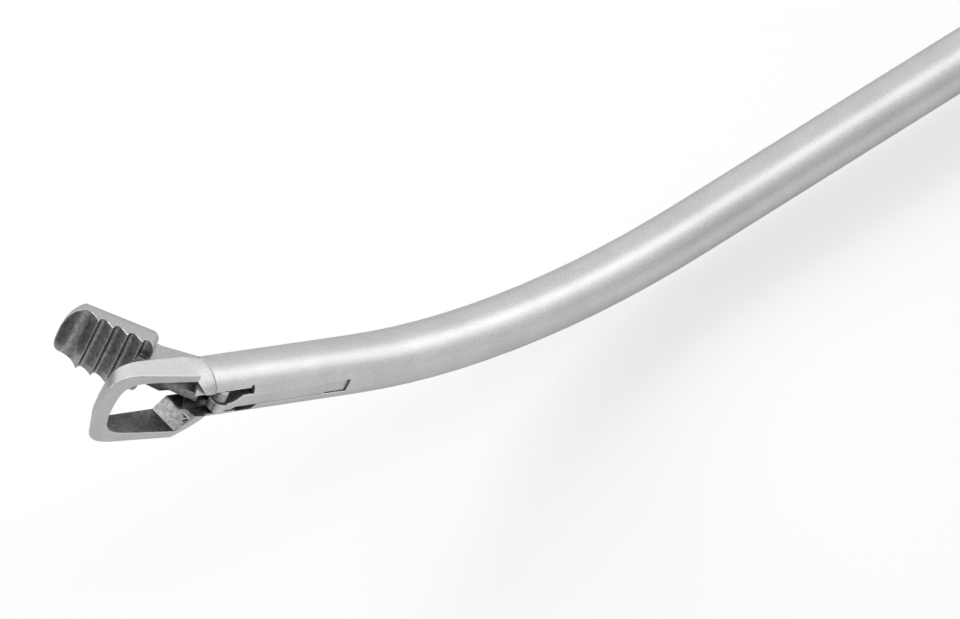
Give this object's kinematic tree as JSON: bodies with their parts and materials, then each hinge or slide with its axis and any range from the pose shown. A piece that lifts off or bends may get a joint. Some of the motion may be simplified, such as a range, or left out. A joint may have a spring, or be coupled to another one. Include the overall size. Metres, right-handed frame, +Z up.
{
  "type": "arthroscopic punch",
  "caption": "Arthroscopic punch with a left curved tube shaft, a ring lower jaw, a toothed upper jaw and ring handles, lying on its right side.",
  "frame": {"origin": "centre of the object's footprint, on the surface it lies on", "axes": "+X from the tip along the straight of the shaft to the handle, +Y towards the side where the upper jaw opens, +Z up, which is the instrument's left"},
  "size_m": [0.1888, 0.0756, 0.0233],
  "materials": {
    "shaft_steel": "fine bead blasted stainless steel",
    "jaw_steel": "satin stainless steel with machined inner faces and bright edges",
    "bar_steel": "drawn satin stainless steel",
    "pin_steel": "ground stainless steel",
    "handle_steel": "satin stainless steel",
    "screw_steel": "turned stainless steel"
  },
  "bodies": {
    "frame": {"shaft_tube": "shaft_steel", "ring_jaw": "jaw_steel", "jaw_pivot_pin": "pin_steel", "guide_bush": "pin_steel", "ferrule": "handle_steel", "fixed_handle": "handle_steel", "pivot_screw": "screw_steel", "pivot_washer": "screw_steel", "pivot_nut": "screw_steel", "shaft_set_screw": "screw_steel", "open_stop_pin": "pin_steel"},
    "thumb_lever": {"thumb_handle": "handle_steel"},
    "pull_rod": {"rear_rod": "bar_steel", "rod_end": "bar_steel", "rod_locknut": "pin_steel", "rod_end_pin": "pin_steel"},
    "curved_bar": {"curved_drawbar": "bar_steel"},
    "front_bar": {"front_drawbar": "bar_steel"},
    "jaw": {"upper_jaw": "jaw_steel", "jaw_link_pin": "pin_steel"}
  },
  "joints": [
    {"name": "thumb_squeeze", "type": "hinge", "parent": "frame", "child": "thumb_lever", "pos_m": [0.04843, 0.02367, 0.0032], "axis": [0, 0, -1], "range_deg": [0, 15.07]},
    {"name": "rod_pull", "type": "slide", "parent": "frame", "child": "pull_rod", "axis": [1, 0, 0], "range_m": [0, 0.00184]},
    {"name": "curved_bar_pull", "type": "hinge", "parent": "frame", "child": "curved_bar", "pos_m": [-0.04857, 0.03061, 0.0542], "axis": [0, -1, 0], "range_deg": [0, 2.06]},
    {"name": "front_bar_pull", "type": "slide", "parent": "frame", "child": "front_bar", "axis": [0.859, 0, -0.512], "range_m": [0, 0.00184]},
    {"name": "jaw_close", "type": "hinge", "parent": "frame", "child": "jaw", "pos_m": [-0.08473, 0.03158, 0.01638], "axis": [0.512, 0, 0.859], "range_deg": [0, 46.02]}
  ],
  "couplings": [
    {"joint": "rod_pull", "follows": "thumb_squeeze", "m_per_rad": 0.0069798},
    {"joint": "curved_bar_pull", "follows": "thumb_squeeze", "ratio": 0.13686},
    {"joint": "front_bar_pull", "follows": "thumb_squeeze", "m_per_rad": 0.0069798},
    {"joint": "jaw_close", "follows": "thumb_squeeze", "ratio": 3.0519}
  ]
}
